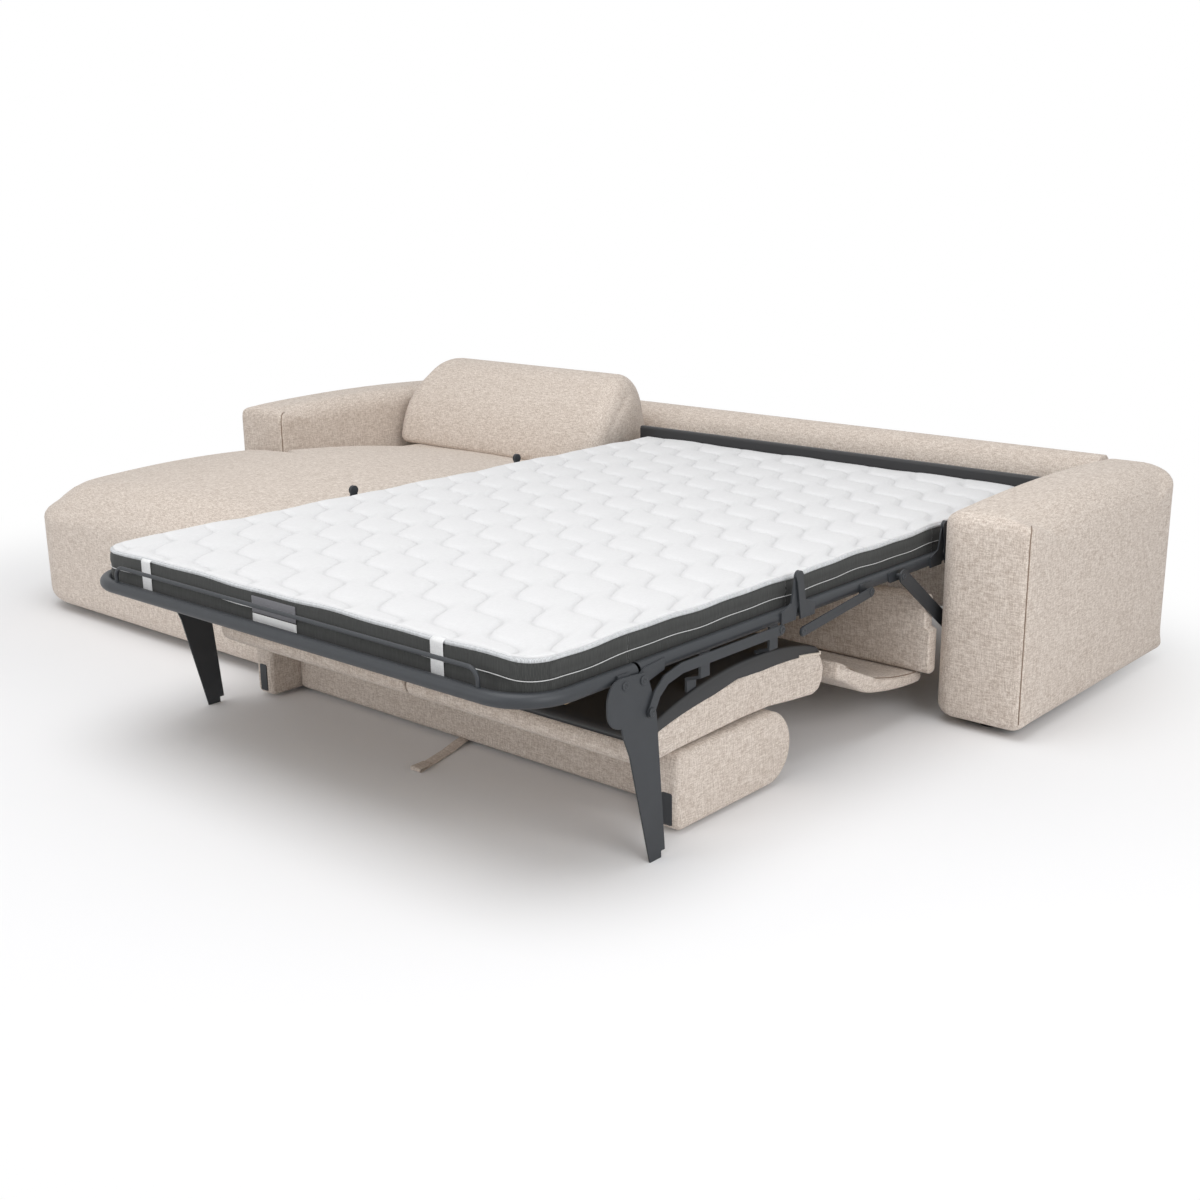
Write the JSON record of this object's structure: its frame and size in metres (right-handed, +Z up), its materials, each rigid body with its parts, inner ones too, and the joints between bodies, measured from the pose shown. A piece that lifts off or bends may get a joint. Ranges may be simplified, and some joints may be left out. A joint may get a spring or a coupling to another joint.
{
  "type": "corner sofa",
  "caption": "Corner sofa with a chaise, rounded low arms and back, and a fold-out bed with a sectioned mattress on a hinged steel frame, shown opened out.",
  "frame": {"origin": "middle of the footprint, on the floor", "axes": "+X to the right arm, +Y towards the back, +Z up; the bed opens towards -Y"},
  "size_m": [3.035, 2.385, 0.662],
  "materials": {
    "upholstery": "woven melange",
    "mattress_cover": "quilted top, ribbed grey side band",
    "frame_steel": "anthracite powder coat",
    "slat_wood": "raw birch laminate",
    "timber": "raw board",
    "underside_cloth": "black non-woven",
    "elastic": "white elastic webbing",
    "black_plastic": "moulded"
  },
  "bodies": {
    "base": {"right_arm_cover": "upholstery", "right_arm_frame": "timber", "left_arm_cover": "upholstery", "left_arm_frame": "timber", "back_cover": "upholstery", "back_frame": "timber", "chaise_cover": "upholstery", "chaise_frame": "timber", "chaise_back_cushion": "upholstery", "bay_front_panel": "upholstery", "bay_side_plates": "frame_steel", "glides": "black_plastic"},
    "swing_arms": {"swing_arms": "frame_steel"},
    "bed_mid": {"mid_side_rails": "frame_steel", "mid_slats": "slat_wood", "mid_mattress": "mattress_cover", "mid_hinge_plates": "frame_steel", "mid_pivot_pins": "frame_steel", "mid_rear_ears": "frame_steel"},
    "bed_head": {"head_side_rails": "frame_steel", "head_slats": "slat_wood", "head_mattress": "mattress_cover", "head_rail": "frame_steel", "head_hinge_plates": "frame_steel"},
    "bed_foot": {"foot_side_rails": "frame_steel", "foot_slats": "slat_wood", "foot_mattress": "mattress_cover", "foot_hinge_plates": "frame_steel", "foot_leg_pivots": "frame_steel", "seat_pan": "underside_cloth", "seat_cushion_right": "upholstery", "seat_cushion_left": "upholstery", "seat_brackets": "frame_steel", "backrest_hanger": "frame_steel", "apron_hinge": "frame_steel"},
    "bed_end": {"front_rail": "frame_steel", "mattress_hoop": "frame_steel", "end_slats": "slat_wood", "end_mattress": "mattress_cover", "legs": "frame_steel", "mattress_straps": "elastic"},
    "control_bars": {"control_bars": "frame_steel"},
    "link_bars": {"link_bars": "frame_steel"},
    "backrest": {"backrest": "upholstery", "backrest_rod": "frame_steel", "pull_strap": "upholstery"},
    "apron": {"apron": "upholstery", "apron_leaf": "frame_steel"}
  },
  "joints": [
    {"name": "bed_fold", "type": "hinge", "parent": "base", "child": "swing_arms", "pos_m": [0.5075, 0.3305, 0.197], "axis": [-1, 0, 0], "range_deg": [0, 164.81]},
    {"name": "mid_level", "type": "hinge", "parent": "swing_arms", "child": "bed_mid", "pos_m": [0.5075, 0.0525, 0.402], "axis": [1, 0, 0], "range_deg": [0, 164.81]},
    {"name": "head_tilt", "type": "hinge", "parent": "bed_mid", "child": "bed_head", "pos_m": [0.5075, 0.2725, 0.484], "axis": [1, 0, 0], "range_deg": [0, 90]},
    {"name": "foot_fold", "type": "hinge", "parent": "bed_mid", "child": "bed_foot", "pos_m": [0.5075, -0.3625, 0.484], "axis": [-1, 0, 0], "range_deg": [0, 180]},
    {"name": "end_fold", "type": "hinge", "parent": "bed_foot", "child": "bed_end", "pos_m": [0.5075, -0.8875, 0.386], "axis": [1, 0, 0], "range_deg": [0, 90]},
    {"name": "control_swing", "type": "hinge", "parent": "bed_end", "child": "control_bars", "pos_m": [0.5075, -0.8695, 0.318], "axis": [-1, 0, 0], "range_deg": [0, 90]},
    {"name": "link_swing", "type": "hinge", "parent": "bed_mid", "child": "link_bars", "pos_m": [0.5075, -0.0825, 0.392], "axis": [-1, 0, 0], "range_deg": [0, 37]},
    {"name": "back_raise", "type": "hinge", "parent": "bed_foot", "child": "backrest", "pos_m": [0.5075, -0.7255, 0.16], "axis": [-1, 0, 0], "range_deg": [0, 90]},
    {"name": "apron_drop", "type": "hinge", "parent": "bed_foot", "child": "apron", "pos_m": [0.5075, -0.1735, 0.254], "axis": [1, 0, 0], "range_deg": [0, 138]}
  ],
  "couplings": [
    {"joint": "mid_level", "follows": "bed_fold", "ratio": 1},
    {"joint": "head_tilt", "follows": "bed_fold", "ratio": 0.54608},
    {"joint": "foot_fold", "follows": "bed_fold", "ratio": 1.0922},
    {"joint": "end_fold", "follows": "bed_fold", "ratio": 0.54608},
    {"joint": "control_swing", "follows": "bed_fold", "ratio": 0.54608},
    {"joint": "link_swing", "follows": "bed_fold", "ratio": 0.2245},
    {"joint": "back_raise", "follows": "bed_fold", "ratio": 0.54608},
    {"joint": "apron_drop", "follows": "bed_fold", "ratio": 0.83733}
  ]
}
